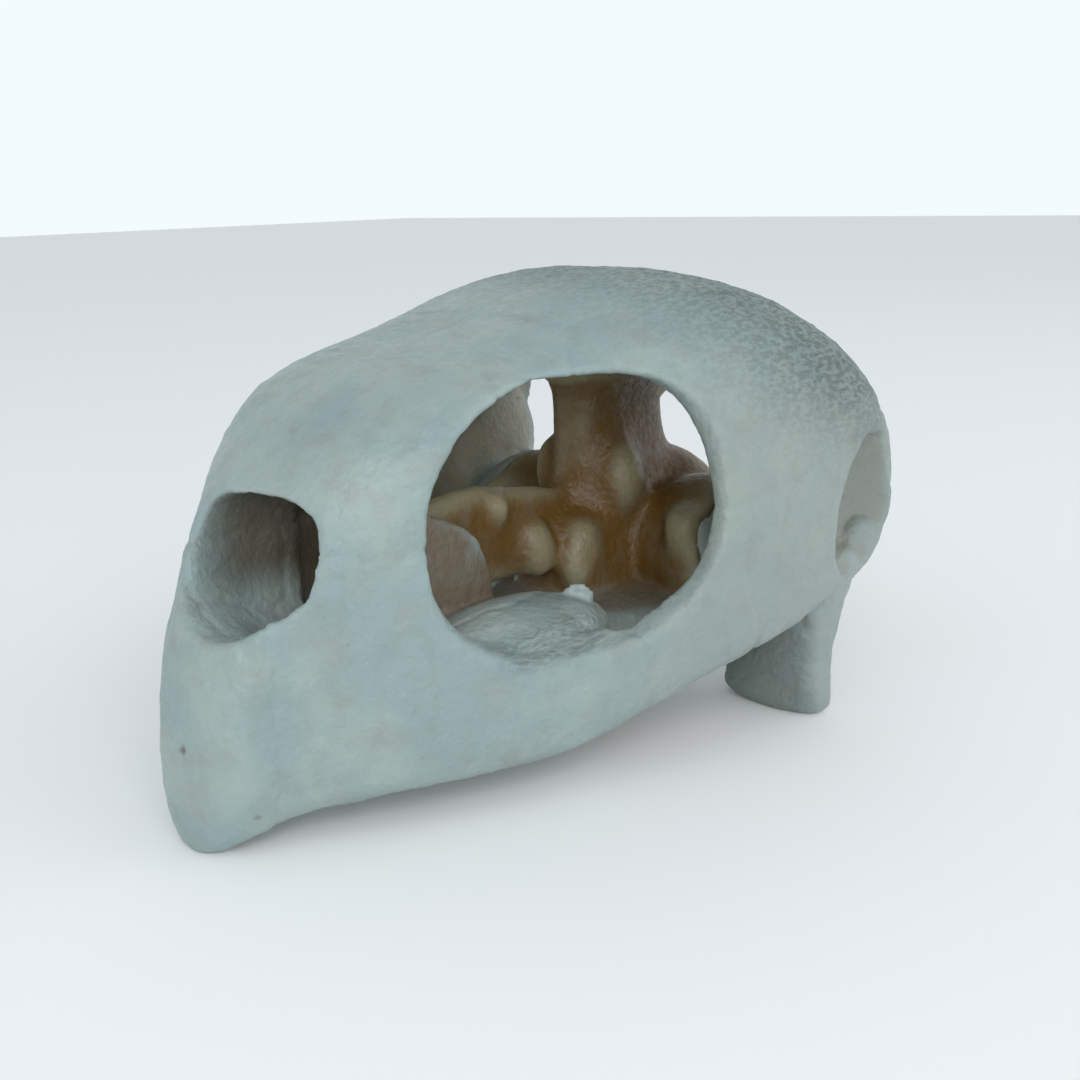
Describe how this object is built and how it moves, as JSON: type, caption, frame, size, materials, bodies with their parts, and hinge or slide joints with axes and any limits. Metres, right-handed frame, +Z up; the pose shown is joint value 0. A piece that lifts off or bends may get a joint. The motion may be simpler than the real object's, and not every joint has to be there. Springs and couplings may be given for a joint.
{
  "type": "sea turtle skull",
  "caption": "Sea turtle skull without the lower jaw: hooked beak, large eye sockets, roofed temples and a rear crest, resting on its beak tip and jaw joints.",
  "frame": {"origin": "on the floor under the centre of the skull's bounding box", "axes": "+Z up, -Y towards the beak tip, +X the animal's left side"},
  "size_m": [0.097, 0.1588, 0.0787],
  "materials": {
    "bone": "matt, pale grey dry bone",
    "amber_bone": "satin, amber brown bone"
  },
  "bodies": {
    "root": {"premaxilla": "bone", "vomer": "amber_bone", "braincase": "amber_bone", "left_maxilla": "bone", "right_maxilla": "bone", "left_prefrontal": "bone", "right_prefrontal": "bone", "left_frontal": "bone", "right_frontal": "bone", "left_parietal": "bone", "right_parietal": "bone", "left_postorbital": "bone", "right_postorbital": "bone", "left_jugal": "bone", "right_jugal": "bone", "left_quadratojugal": "bone", "right_quadratojugal": "bone", "left_squamosal": "bone", "right_squamosal": "bone", "left_quadrate": "bone", "right_quadrate": "bone", "left_palatine": "amber_bone", "right_palatine": "amber_bone", "left_pterygoid": "amber_bone", "right_pterygoid": "amber_bone"}
  },
  "joints": []
}
